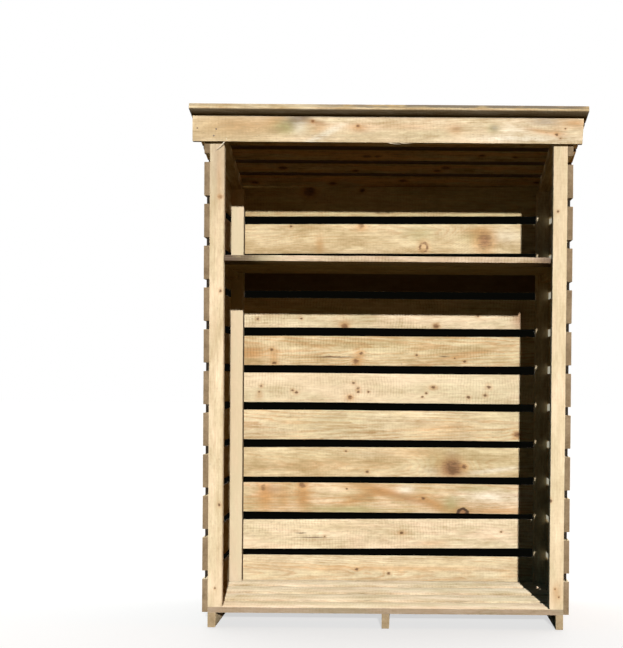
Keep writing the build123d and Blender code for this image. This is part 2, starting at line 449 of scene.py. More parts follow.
def wood(name, look):
    """Sawn softwood: growth rings cut by the board's faces, bent round its knots, with saw marks."""
    pith_sway = 40 * MM
    pith_rise = 30 * MM
    saw_pitch = 5.6 * MM
    by_channel = (0.85, 1.1, 1.5)  # how strongly unevenness shows in red, green and blue
    face_start = 5 * MM  # from mid-thickness, where the painted shade on a face starts and is full
    face_full = 9 * MM
    colours = bpy.context.scene.timber_colours
    recipe = Recipe(bpy.data.materials.new(name))
    board = recipe.attribute("board", "Vector")
    along, across, through = recipe.split(board)
    place = board + recipe.attribute("log", "Vector")
    trunk, side, deep = recipe.split(place)
    drift_side, drift_deep, drift_tone = recipe.split(recipe.grain(place, "drift", "Color"))
    side = side + (drift_side - 0.5) * pith_sway
    deep = deep + (drift_deep - 0.5) * pith_rise
    late = growth_rings(recipe, look, along, across, side, deep, place)

    cloud = recipe.grain(place, "cloud")
    mottle = recipe.grain(place, "mottle")
    streak = recipe.grain(place, "streak")
    fibre = recipe.grain(place, "fibre")
    speck = recipe.rise(recipe.grain(place, "speck"), 0.68, 0.76)
    ragged = (recipe.grain(place, "tear") - 0.5) * 1.9

    patch = recipe.rise(cloud * 0.5 + recipe.grain(place, "patch") * 0.5, 0.42, 0.58)
    colour = recipe.mix(patch * look.patch, getattr(colours, look.tone), getattr(colours, look.second))
    colour = recipe.mix(recipe.rise(drift_tone, 0.50, 0.68) * 0.13, colour, colours.moss)
    colour = recipe.mix(late * look.contrast * 0.55, colour, colours.amber)
    if look.stains:
        broken = recipe.rise(mottle * 0.4 + streak * 0.3 + cloud * 0.3, 0.31, 0.50)
        colour = stains_of(recipe, look, colours, colour, along, across, broken)
    colour = recipe.mix(speck * (0.22 * look.marks), colour, colours.knot)
    if look.knots:
        colour = knots_of(recipe, look, colours, colour, along, across, ragged, mottle)
    if look.cracks:
        colour = cracks_of(recipe, look, colours, colour, along, across, mottle)

    wandering = trunk / saw_pitch + (recipe.grain(place, "saw wander") - 0.5) * 3.0
    sawn_patch = recipe.rise(recipe.grain(place, "saw patch"), 0.42, 0.60)
    sawn = recipe.rise(recipe.one("PINGPONG", wandering), 0.55, 0.95) * sawn_patch * look.saw
    uneven = (cloud - 0.5) * 0.9 + (mottle - 0.5) * 0.65 + (streak - 0.5) * 0.5 + (fibre - 0.5) * 0.25
    uneven = uneven * look.marks - sawn * 0.15
    colour = colour * (1.0 + uneven * by_channel)
    if look.dirt:
        streaks = recipe.rise(recipe.grain(place, "grime"), 0.50, 0.70)
        colour = recipe.mix(streaks * look.dirt, colour, colours.grime)
    if look.aged:
        greyed = recipe.rise(streak, 0.36, 0.66) * 0.7 + 0.3
        colour = recipe.mix(greyed * look.aged, colour, colours.weathered)
    if look.rained_on:
        soaked = [channel * 0.45 for channel in colours.weathered]
        depth = through + (mottle - 0.5) * (9 * MM)
        rain = recipe.rise(depth, -3 * MM, 1 * MM) * recipe.rise(cloud, 0.30, 0.46)
        rain = rain * (recipe.rise(along, -0.35, 0.05) * 0.70 + 0.30)
        colour = recipe.mix(rain * look.rained_on, colour, soaked)
    # Painted shade on the inner face, such as the underside of the front roof board
    if look.painted_inner_shade:
        inner_shade_mask = recipe.rise(through * -1.0, face_start, face_full)
        colour = recipe.mix(inner_shade_mask * look.painted_inner_shade, colour, colours.grime)
    # Painted shade on the outer face, such as the front of a back board under the shelf
    if look.painted_outer_shade:
        outer_shade_mask = recipe.rise(through, face_start, face_full)
        colour = recipe.mix(outer_shade_mask * look.painted_outer_shade, colour, colours.grime)
    # Painted shade in bands along the gaps between roof boards
    if look.painted_gap_shade:
        inwards = look.painted_gap_shade - recipe.one("ABSOLUTE", across)
        gap_shade_mask = 0.9 - recipe.rise(inwards, 2 * MM, 9 * MM) * 0.9
        colour = recipe.mix(gap_shade_mask, colour, colours.grime)
    # Darker narrow faces: painted shade in the roof boards' gaps; on the front floor board its front and back
    # faces are darker
    if look.edges:
        edge_face = recipe.attribute("edge_face", "Fac")
        colour = recipe.mix(edge_face * look.edges, colour, colours.grime)
    end_face = recipe.attribute("end_face", "Fac")
    colour = recipe.mix(end_face * look.ends, colour, recipe.shade(colours.end_grain, 1.0 + uneven))

    height = fibre * 0.3 - sawn * 0.8 + late * 0.3 + mottle * 0.5 + streak * 0.5
    relief = {"Strength": 0.6, "Distance": 1.0 * MM, "Height": height}
    recipe.fill(recipe.tree.nodes["Principled BSDF"], {
        "Base Color": colour,
        "Roughness": 0.74 + (fibre - 0.5) * 0.2 - late * 0.08,
        "Normal": recipe.node("ShaderNodeBump", {}, relief, "Normal"),
        "Specular IOR Level": 0.25,
        "Diffuse Roughness": look.rough,
    })
    return recipe.owner


def steel(name):
    """Dull galvanised steel, darker in blotches, with a little rust."""
    colours = bpy.context.scene.timber_colours
    recipe = Recipe(bpy.data.materials.new(name))
    place = recipe.node("ShaderNodeTexCoord", {}, {}, "Object")
    blotch = recipe.noise(place, scale=420.0, detail=3.0, roughness=0.6)
    rust = recipe.rise(recipe.noise(place, scale=190.0), 0.48, 0.64)
    colour = recipe.mix(0.35 + rust * 0.5, colours.steel, colours.rust)
    recipe.fill(recipe.tree.nodes["Principled BSDF"], {
        "Base Color": recipe.shade(colour, 0.6 + blotch * 0.8),
        "Metallic": 0.85 - rust * 0.6,
        "Roughness": 0.45 + blotch * 0.25,
    })
    return recipe.owner


def deselect_all():
    """Leaves edit mode, if it is on, and selects nothing."""
    if bpy.context.object and bpy.context.object.mode != "OBJECT":
        bpy.ops.object.mode_set(mode="OBJECT")
    bpy.ops.object.select_all(action="DESELECT")


def pick(piece):
    """Makes one object the only selected one, and the active one."""
    deselect_all()
    piece.select_set(True)
    bpy.context.view_layer.objects.active = piece


def select_edges(piece, wanted):
    """Selects the edges that a test on their two ends picks out, and stays in edit mode."""
    pick(piece)
    bpy.ops.object.mode_set(mode="EDIT")
    bpy.ops.mesh.select_mode(type="EDGE")
    bpy.ops.mesh.select_all(action="DESELECT")
    bpy.ops.object.mode_set(mode="OBJECT")
    points = piece.data.vertices
    for edge in piece.data.edges:
        edge.select = wanted(points[edge.vertices[0]].co, points[edge.vertices[1]].co)
    bpy.ops.object.mode_set(mode="EDIT")


def sawn_blank(name, length, width, thickness):
    """A square blank about the origin, its length along X, with cross cuts that let it bend."""
    deselect_all()
    bpy.ops.mesh.primitive_cube_add(size=1)
    blank = bpy.context.object
    blank.name = name
    blank.data.name = name
    blank.scale = (length, width, thickness)
    bpy.ops.object.transform_apply(location=False, rotation=False, scale=True)
    cuts = round(length / bpy.context.scene.timber_sizes.cut_spacing)
    most_cuts = 90
    select_edges(blank, lambda start, end: abs(start.x - end.x) > length / 2)
    bpy.ops.mesh.subdivide(number_cuts=min(cuts, most_cuts))
    bpy.ops.object.mode_set(mode="OBJECT")
    return blank


def cut_off(piece, point, outward):
    """Saws off what lies beyond a plane and closes the cut."""
    pick(piece)
    bpy.ops.object.mode_set(mode="EDIT")
    bpy.ops.mesh.select_all(action="SELECT")
    bpy.ops.mesh.bisect(
        plane_co=point, plane_no=outward, use_fill=True, clear_outer=True, clear_inner=False
    )
    bpy.ops.object.mode_set(mode="OBJECT")


def chop_out(piece, low, high):
    """Cuts a box-shaped notch out of a blank."""
    deselect_all()
    bpy.ops.mesh.primitive_cube_add(size=1, location=(low + high) / 2, scale=high - low)
    cutter = bpy.context.object
    notch = piece.modifiers.new("notch", "BOOLEAN")
    notch.operation = "DIFFERENCE"
    notch.solver = "EXACT"
    notch.object = cutter
    pick(piece)
    bpy.ops.object.modifier_apply(modifier=notch.name)
    bpy.data.objects.remove(cutter)


def ease_arrises(piece):
    """Rounds every sharp edge a little."""
    pick(piece)
    bpy.ops.object.mode_set(mode="EDIT")
    bpy.ops.mesh.select_mode(type="EDGE")
    bpy.ops.mesh.select_all(action="DESELECT")
    bpy.ops.mesh.edges_select_sharp(sharpness=SHARP_ANGLE)
    bpy.ops.mesh.bevel(offset=bpy.context.scene.timber_sizes.arris, segments=2, profile=0.5)
    bpy.ops.object.mode_set(mode="OBJECT")


def mark_grain(piece, log):
    """Stores each point's place in its own board, its log's, and which faces are ends or edges."""
    facing = 0.8  # how far a face's normal has to point along the piece, or across it
    mesh = piece.data
    board = mesh.attributes.new("board", "FLOAT_VECTOR", "POINT")
    place = mesh.attributes.new("log", "FLOAT_VECTOR", "POINT")
    for index, point in enumerate(mesh.vertices):
        board.data[index].vector = point.co
        place.data[index].vector = log
    end_face = mesh.attributes.new("end_face", "FLOAT", "FACE")
    edge_face = mesh.attributes.new("edge_face", "FLOAT", "FACE")
    for index, face in enumerate(mesh.polygons):
        end_face.data[index].value = float(abs(face.normal.x) > facing)
        edge_face.data[index].value = float(abs(face.normal.y) > facing)


def lay(piece, centre, lie):
    """Turns a piece from its blank's directions to how it lies, and moves it to its place."""
    turn = Matrix(lie).transposed().to_4x4()
    pick(piece)
    piece.matrix_world = Matrix.Translation(centre) @ turn
    bpy.ops.object.transform_apply(location=True, rotation=True, scale=False)


def season(piece, warp_share):
    """Lets a laid piece warp and gives its edges the saw's unevenness, inside the frame's box."""
    sizes = bpy.context.scene.timber_sizes
    for kind, wave_length, strength in (
        ("warp", 0.55, sizes.warp * warp_share),
        ("saw", 0.035, sizes.saw_wave),
    ):
        name = f"timber_{kind}"
        texture = bpy.data.textures.get(name) or bpy.data.textures.new(name, "CLOUDS")
        texture.noise_scale = wave_length
        texture.cloud_type = "COLOR"
        texture.noise_depth = 1
        modifier = piece.modifiers.new(kind, "DISPLACE")
        modifier.texture = texture
        modifier.texture_coords = "LOCAL"
        modifier.direction = "RGB_TO_XYZ"
        modifier.space = "LOCAL"
        modifier.mid_level = 0.5
        modifier.strength = strength
        pick(piece)
        bpy.ops.object.modifier_apply(modifier=modifier.name)
    low, high = CAD_BOX
    for point in piece.data.vertices:
        for axis in range(3):
            point.co[axis] = min(max(point.co[axis], low[axis]), high[axis])
    pick(piece)
    bpy.ops.object.shade_smooth_by_angle(angle=SHARP_ANGLE)


def join_pieces(pieces, name):
    """Makes one piece of several."""
    deselect_all()
    for piece in pieces:
        piece.select_set(True)
    bpy.context.view_layer.objects.active = pieces[0]
    bpy.ops.object.join()
    joined = bpy.context.object
    joined.name = name
    joined.data.name = name
    return joined


def dress(piece, node, material):
    """Gives a finished piece its material and hangs it from the root body; the node is not used."""
    piece.data.materials.clear()
    piece.data.materials.append(material)
    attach(piece, "root")


def log_place(seed, look):
    """Where in its log a board was cut: its own place along the trunk and off the heart."""
    draw = random.Random(seed)
    trunk = draw.uniform(0, 40)
    side, deep = look.pith or (draw.uniform(-60, 60), draw.uniform(18, 70))
    return Vector((trunk, side * MM, deep * MM))


def tilt_board(piece, degrees):
    """Turns a board a little in its own plane, as it was nailed."""
    pick(piece)
    piece.rotation_euler = (0, 0, math.radians(degrees))
    bpy.ops.object.transform_apply(location=False, rotation=True, scale=False)


def sawn_piece(name, seed, sizes, centre, lie, look, warp_share, cuts=(), notches=()):
    """A piece of a length, width and thickness, cut, notched, eased, laid in its place and warped."""
    piece = sawn_blank(name, *sizes)
    for point, outward in cuts:
        cut_off(piece, point, outward)
    for low, high in notches:
        chop_out(piece, low, high)
    ease_arrises(piece)
    mark_grain(piece, log_place(seed, look))
    tilt_board(piece, look.tilt)
    lay(piece, centre + lie[1] * look.lift * MM, lie)
    season(piece, warp_share)
    return piece


def stand_in(piece, node, look):
    """Dresses a finished piece in its wood and puts it in the place of its node of the frame."""
    dress(piece, node, wood(f"{node}_wood", look))
    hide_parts(node)


def timber(node, lie, look, warp_share=1.0, sizes=None, cuts=(), notches=()):
    """The piece of timber of one node, of the sizes of the node's box unless others are given."""
    box_size = size_of(node)
    sizes = sizes or [abs(box_size.dot(direction)) for direction in lie]
    name = f"sawn_{node}"
    piece = sawn_piece(name, node, sizes, middle_of(node), lie, look, warp_share, cuts, notches)
    stand_in(piece, node, look)


# The back boards, from the lowest up
BACK_LOOKS = {
    "back_board_01": Look(
        "cream", "honey", 0.6, 0.8, 7.0, pith=(10, 30), knots=((-118, 4, 6), (4, -11, 6)), saw=0.3,
        stains=((0, 8, 500, 10, "amber", 0.5), (60, -40, 400, 12, "amber", 0.35)),
    ),
    "back_board_02": Look(
        "cream", "pink", 0.6, 0.35, 5.0, knots=((52, 3, 6), (433, 8, 4), (-242, -10, 4)), tilt=0.55, saw=0.8,
        stains=(
            (180, -36, 60, 12, "amber", 0.45), (-200, 30, 160, 20, "honey", 0.5),
            (52, 3, 40, 14, "amber", 0.4),
        ),
        cracks=((-285, -13, 46), (-332, 4, 14)),
    ),
    "back_board_03": Look(
        "honey", "pink", 0.6, 1.0, 8.0, pith=(-20, 40), lift=-3.2, tilt=-0.1, saw=0.25,
        knots=(
            (-478, 36, 10, "red"), (-330, 46, 9, "smear"), (-158, 34, 4), (135, 0, 7), (286, -53, 17, "rim"),
        ),
        stains=(
            (-470, 5, 34, 60, "amber", 0.9), (-400, 0, 26, 60, "amber", 0.6), (-325, 5, 30, 60, "amber", 0.9),
            (-440, 30, 34, 14, "red", 0.5), (-20, 25, 150, 20, "amber", 0.9, -0.22),
            (-120, -5, 90, 16, "amber", 0.7, 0.35), (100, -8, 150, 13, "red", 0.4, -0.3),
            (190, -25, 90, 20, "amber", 0.8, -0.45), (-150, -46, 150, 12, "moss", 0.8),
            (240, -20, 30, 34, "moss", 0.8), (70, 34, 34, 16, "bleached", 0.7),
            (400, 12, 140, 24, "bleached", 0.6), (420, -46, 120, 12, "amber", 0.7),
            (330, 40, 60, 10, "moss", 0.5),
        ),
    ),
    "back_board_04": Look(
        "honey", "cream", 0.3, 0.5, 6.0, lift=-6, tilt=0.3, saw=0.3,
        knots=((-162, 41, 4), (-80, -37, 6), (245, -22, 29, "smear"), (290, -16, 7, "smear")),
        stains=(
            (225, 5, 80, 45, "moss", 0.5), (245, 22, 30, 26, "weathered", 0.5),
            (190, -34, 60, 16, "weathered", 0.45), (-300, 20, 200, 30, "moss", 0.2),
            (-80, 30, 90, 12, "knot", 0.15), (-260, -10, 200, 26, "amber", 0.3),
            (400, -30, 150, 8, "bleached", 0.6, 0.12), (100, 35, 120, 18, "amber", 0.35),
        ),
    ),
    "back_board_05": Look(
        "cream", "honey", 0.6, 1.0, 10.0, pith=(0, 22), lift=-6, knots=((490, -30, 9, "smear"),), saw=0.3,
        stains=((-200, 10, 140, 60, "moss", 0.3), (230, -10, 120, 30, "amber", 0.35)),
    ),
    "back_board_06": Look(
        "cream", "pink", 0.4, 0.2, 4.0, lift=-4.8, saw=0.9, marks=0.7,
        knots=(
            (-487, 5, 5), (-494, -18, 4), (-368, -11, 5), (-353, -19, 6), (-135, 19, 5), (-118, -1, 6),
            (-117, -14, 6), (-78, -15, 4), (-148, -36, 6, "smear"), (170, 5, 7), (143, -17, 4), (128, -31, 4),
            (381, 9, 8), (368, -23, 6), (304, -31, 6),
        ),
        stains=(
            (-148, -36, 22, 16, "amber", 0.5), (-494, -34, 16, 16, "amber", 0.4),
            (170, 5, 24, 10, "amber", 0.4),
        ),
    ),
    "back_board_07": Look(
        "honey", "cream", 0.4, 1.0, 9.0, pith=(-15, 26), lift=-2.8, tilt=0.16, saw=1.0,
        knots=(
            (-448, 2, 6), (-437, -47, 7), (-107, -9, 7), (-127, -40, 8, "smear"), (105, -14, 5),
            (250, -25, 4), (288, -38, 5),
        ),
        stains=(
            (-527, -10, 60, 25, "amber", 0.85), (-60, 20, 200, 30, "moss", 0.2),
            (-440, -20, 18, 40, "amber", 0.6), (-117, -24, 24, 34, "amber", 0.6),
            (300, -10, 140, 10, "amber", 0.5, 0.2),
        ),
        cracks=((-228, -24, 32), (-190, -24, 60), (211, -19, 16)),
    ),
    "back_board_08": Look(
        "cream", "pink", 0.6, 0.4, 5.0, saw=1.0,
        knots=((-502, -24, 5), (-336, -23, 5), (-170, -50, 9, "smear"), (178, -46, 8, "smear"), (338, -6, 5)),
        stains=(
            (492, -12, 26, 45, "red", 0.7), (-170, -40, 30, 22, "amber", 0.5),
            (-100, -10, 60, 30, "moss", 0.3),
        ),
    ),
    # The front of this board, under the shelf, is darkened with painted shade
    "back_board_09": Look("honey", "cream", 0.4, 0.5, 6.0, painted_outer_shade=0.85),
    "back_board_10": Look(
        "honey", "cream", 0.35, 0.6, 4.0, lift=3.6, tilt=0.5, saw=0.35,
        knots=((-378, 48, 5), (-111, 53, 12, "red"), (127, -31, 18, "ring"), (359, -8, 31, "red")),
        stains=(
            (115, 20, 50, 30, "moss", 0.5), (330, 10, 60, 34, "moss", 0.6), (-270, -30, 16, 40, "amber", 0.6),
            (359, -8, 50, 36, "amber", 0.6), (330, 30, 60, 14, "amber", 0.5),
            (-111, 40, 40, 14, "amber", 0.5), (440, 10, 60, 30, "bleached", 0.4),
        ),
    ),
    "back_board_11": Look(
        "honey", "moss", 0.4, 0.6, 5.0, lift=5, tilt=0.5, aged=0.1,
        knots=((-309, 38, 17, "smear"), (-107, 43, 8)),
    ),
}
SLAT_LOOK = Look("honey", "cream", 0.5, 0.6, 6.0, aged=0.1)


class LOGSTORE_OT_bearers(bpy.types.Operator):
    """Saw the three bearers on edge under the floor"""

    bl_idname = "logstore.bearers"
    bl_label = "Bearers"

    def execute(self, context):
        look = Look("honey", aged=0.35, dirt=0.2, ends=0.5)
        for number in range(1, 4):
            timber(f"ground_bearer_{number}", ALONG_Y_UPRIGHT, look, warp_share=0.2)
        return {"FINISHED"}


class LOGSTORE_OT_floor_boards(bpy.types.Operator):
    """Saw the four floor boards"""

    bl_idname = "logstore.floor_boards"
    bl_label = "Floor boards"

    def execute(self, context):
        front = Look("cream", "pink", 0.8, 0.4, marks=0.8, dirt=0.15, edges=0.5, rough=1.0)
        others = Look("cream", "pink", 0.6, 0.4, marks=1.1, dirt=0.3, aged=0.08, rough=1.0)
        for number in range(1, 5):
            look = front if number == 1 else others
            timber(f"floor_board_{number}", ALONG_X_FLAT, look, warp_share=0.3)
        return {"FINISHED"}


class LOGSTORE_OT_posts(bpy.types.Operator):
    """Saw the four posts, with their tops cut to the fall of the roof"""

    bl_idname = "logstore.posts"
    bl_label = "Posts"

    def execute(self, context):
        looks = {
            "front_post_left": Look(
                "cream", "pink", 0.4, 0.35, 4.0, marks=0.7, saw=0.2,
                knots=((1450, 11, 7, "red"), (1134, 14, 5), (414, 14, 5), (132, 1, 3)),
                stains=((1560, 0, 120, 30, "knot", 0.3), (1500, 8, 90, 9, "amber", 0.35)),
            ),
            "front_post_right": Look(
                "cream", "pink", 0.4, 0.25, 4.0, marks=0.55, saw=0.2,
                knots=((1409, -8, 4), (437, -22, 5), (138, -5, 3), (111, 8, 3)),
                stains=((125, 0, 34, 16, "amber", 0.5),),
            ),
            "back_post_left": Look(
                "cream", "pink", 0.6, 0.1, 4.0, marks=0.3, saw=0.1, rough=0.0,
                stains=((800, 0, 1500, 200, "amber", 0.14), (600, 0, 500, 60, "honey", 0.4)),
            ),
            "back_post_right": Look("cream", "honey", 0.3, 0.3, 4.0),
        }
        for node, look in looks.items():
            look.knots = self.from_middle(node, look.knots)
            look.stains = self.from_middle(node, look.stains)
            size = size_of(node)
            top_front = Vector((size.z / 2, 0, -size.y / 2))
            top = (top_front, Vector((FALL_COSINE, 0, FALL_SINE)))
            timber(node, UP_THE_POST, look, warp_share=0.5, cuts=[top])
        return {"FINISHED"}

    def from_middle(self, node, marks):
        """Turns the heights of knots or stains over the ground into their places along a post."""
        middle = middle_of(node).z / MM
        return tuple((height - middle, *rest) for height, *rest in marks)


class LOGSTORE_OT_back_boards(bpy.types.Operator):
    """Saw the boards of the back wall"""

    bl_idname = "logstore.back_boards"
    bl_label = "Back boards"

    def execute(self, context):
        for node, look in BACK_LOOKS.items():
            timber(node, ALONG_X_UPRIGHT, look)
        return {"FINISHED"}


class LOGSTORE_OT_side_slats(bpy.types.Operator):
    """Saw the slats of both sides, with the tapered ones under the roof"""

    bl_idname = "logstore.side_slats"
    bl_label = "Side slats"

    def execute(self, context):
        for side in ("left", "right"):
            self.wall(f"side_slats_{side}")
            self.tapered(f"tapered_slat_{side}")
        return {"FINISHED"}

    def wall(self, node):
        """All the full slats of a side, level with the back boards, joined as one piece."""
        centre = middle_of(node)
        size = size_of(node)
        slats = []
        for back_board in BACK_LOOKS:
            name = f"{node}_{back_board[-2:]}"
            sizes = (size.y, size_of(back_board).z, size.x)
            place = Vector((centre.x, centre.y, middle_of(back_board).z))
            slat = sawn_piece(name, name, sizes, place, ALONG_Y_UPRIGHT, SLAT_LOOK, warp_share=0.6)
            slats.append(slat)
        stand_in(join_pieces(slats, f"sawn_{node}"), node, SLAT_LOOK)

    def tapered(self, node):
        """The last slat of a side, cut along the underside of the roof."""
        size = size_of(node)
        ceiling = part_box("rafter_left")[1].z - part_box(node)[1].z
        front_top = Vector((-size.y / 2, size.z / 2 + ceiling, 0))
        top = (front_top, Vector((FALL_SINE, FALL_COSINE, 0)))
        timber(node, ALONG_Y_UPRIGHT, SLAT_LOOK, warp_share=0.3, cuts=[top])


class LOGSTORE_OT_shelf(bpy.types.Operator):
    """Saw the shelf boards, the front one notched round the posts, and their bearers"""

    bl_idname = "logstore.shelf"
    bl_label = "Shelf"

    def execute(self, context):
        look = Look("honey")
        for side in ("left", "right"):
            timber(f"shelf_bearer_{side}", ALONG_Y_UPRIGHT, look, warp_share=0.2)
        for number in (2, 3):
            timber(f"shelf_board_{number}", ALONG_X_FLAT, look, warp_share=0.3)
        front = Look(
            "cream", "pink", 0.9, 0.4, 6.0, saw=1.0, aged=0.35, dirt=0.3,
            stains=(
                (-515, 0, 100, 900, "moss", 1.0), (-530, 0, 90, 900, "grime", 1.0),
                (-470, 0, 30, 900, "grime", 0.5), (545, 0, 70, 900, "red", 0.8),
                (545, 0, 45, 900, "grime", 1.0), (330, 0, 140, 900, "pink", 0.9),
            ),
        )
        timber("shelf_board_1", ALONG_X_FLAT, front, warp_share=0.3, notches=self.notches())
        return {"FINISHED"}

    def notches(self):
        """Room for the front posts, tight on the left and looser on the right."""
        room_left = 1 * MM
        room_right = 7 * MM
        room_behind = 2 * MM
        low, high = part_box("shelf_board_1")
        centre_y = middle_of("shelf_board_1").y
        post_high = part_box("front_post_left")[1]
        over = size_of("shelf_board_1").z  # how far a notch's box stands out of the board
        front = low.y - centre_y - over
        rear = post_high.y + room_behind - centre_y
        past_end = high.x + over
        left = (Vector((-past_end, front, -over)), Vector((post_high.x + room_left, rear, over)))
        right = (Vector((-post_high.x - room_right, front, -over)), Vector((past_end, rear, over)))
        return left, right


class LOGSTORE_OT_rafters(bpy.types.Operator):
    """Saw the two rafters, plumb cut at both ends"""

    bl_idname = "logstore.rafters"
    bl_label = "Rafters"

    def execute(self, context):
        plumb = Vector((FALL_COSINE, FALL_SINE, 0))
        for side in ("left", "right"):
            node = f"rafter_{side}"
            size = size_of(node)
            depth = (size.z - size.y * math.tan(ROOF_FALL)) * FALL_COSINE
            sizes = (size.y / FALL_COSINE + depth, depth, size.x)
            half_run = size.y / 2
            ends = [(plumb * half_run, plumb), (plumb * -half_run, -plumb)]
            timber(node, RAFTER_LIE, Look("honey"), warp_share=0.2, sizes=sizes, cuts=ends)
        return {"FINISHED"}


class LOGSTORE_OT_fascia(bpy.types.Operator):
    """Saw the fascia board across the front"""

    bl_idname = "logstore.fascia"
    bl_label = "Fascia"

    def execute(self, context):
        look = Look(
            "cream", "pink", 0.5, 0.5, 4.0, dirt=0.12, saw=0.4,
            knots=((-104, 12, 4, "smear"), (-255, 27, 4, "smear"), (560, -12, 5), (589, 8, 3), (572, -24, 3)),
            stains=(
                (-560, 0, 190, 60, "honey", 0.9), (-480, 10, 130, 30, "amber", 0.45),
                (-372, 22, 40, 26, "amber", 0.7), (-318, 26, 48, 22, "weathered", 1.0, 0.3),
                (-308, 30, 34, 13, "knot", 0.9, 0.3), (-300, 30, 26, 14, "grime", 0.6, 0.3),
                (-345, 6, 46, 24, "moss", 0.9), (-250, 24, 40, 9, "red", 0.7, -0.2),
                (-235, 2, 30, 22, "amber", 0.45), (-225, -22, 70, 12, "bleached", 0.9, 0.5),
                (-300, 10, 22, 30, "bleached", 0.6), (-104, 6, 34, 14, "amber", 0.6),
                (-90, -4, 26, 8, "red", 0.3), (40, 10, 120, 12, "amber", 0.3), (222, 0, 30, 20, "amber", 0.5),
                (226, 6, 14, 8, "red", 0.4), (348, 6, 22, 14, "moss", 0.8),
                (352, 8, 12, 10, "weathered", 0.6), (520, 30, 50, 14, "weathered", 0.7),
                (500, 0, 60, 8, "amber", 0.7, -0.15), (560, -10, 26, 20, "amber", 0.5),
                (450, -26, 160, 12, "bleached", 0.8), (420, 6, 60, 26, "bleached", 0.5),
                # The dark line 42 mm above the middle, along the whole top edge, is painted shadow of the
                # roof's overhang
                (0, -15, 300, 14, "moss", 0.2), (0, 42, 660, 3, "grime", 0.6),
                (620, 26, 50, 14, "amber", 0.7),
            ),
        )
        timber("fascia", ALONG_X_UPRIGHT, look, warp_share=0.4, cuts=[self.right_end()])
        return {"FINISHED"}

    def right_end(self):
        """The cut of the right end, a little short and out of square."""
        short_at_top = 5.7 * MM
        short_at_bottom = 10 * MM
        height = size_of("fascia").z
        top = Vector((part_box("fascia")[1].x - short_at_top, height / 2, 0))
        outward = Vector((height, short_at_top - short_at_bottom, 0)).normalized()
        return top, outward


class LOGSTORE_OT_roof_boards(bpy.types.Operator):
    """Saw the six roof boards and lay them down the slope"""

    bl_idname = "logstore.roof_boards"
    bl_label = "Roof boards"

    def execute(self, context):
        # The underside of the front roof board is darkened with painted shade
        front = Look("honey", "cream", 0.5, 0.5, 6.0, dirt=0.35, rained_on=0.9, painted_inner_shade=0.6)
        for number in range(1, 7):
            node = f"roof_board_{number}"
            size = size_of(node)
            width = (size.y - BOARD_THICKNESS * FALL_SINE) / FALL_COSINE
            look = front if number == 1 else self.dirty_and_shaded_look(number, width)
            sizes = (size.x, width, BOARD_THICKNESS)
            timber(node, ROOF_BOARD_LIE, look, warp_share=0.4, sizes=sizes)
        return {"FINISHED"}

    def dirty_and_shaded_look(self, number, width):
        """Smeared knots, painted shade on the narrow faces, and painted shade along the gaps in bands that
        narrow by a millimetre a board.
        """
        draw = random.Random(f"roof knots {number}")
        knots = tuple(
            (draw.uniform(-560, 560), draw.uniform(-26, 26), draw.uniform(6, 15), "smear")
            for knot in range(4)
        )
        return Look(
            "honey", "amber", 0.8, 0.6, 6.0, knots=knots, dirt=0.2, edges=1.0, rained_on=0.6,
            marks=1.6, painted_gap_shade=width / 2 + (number - 6) * MM,
        )


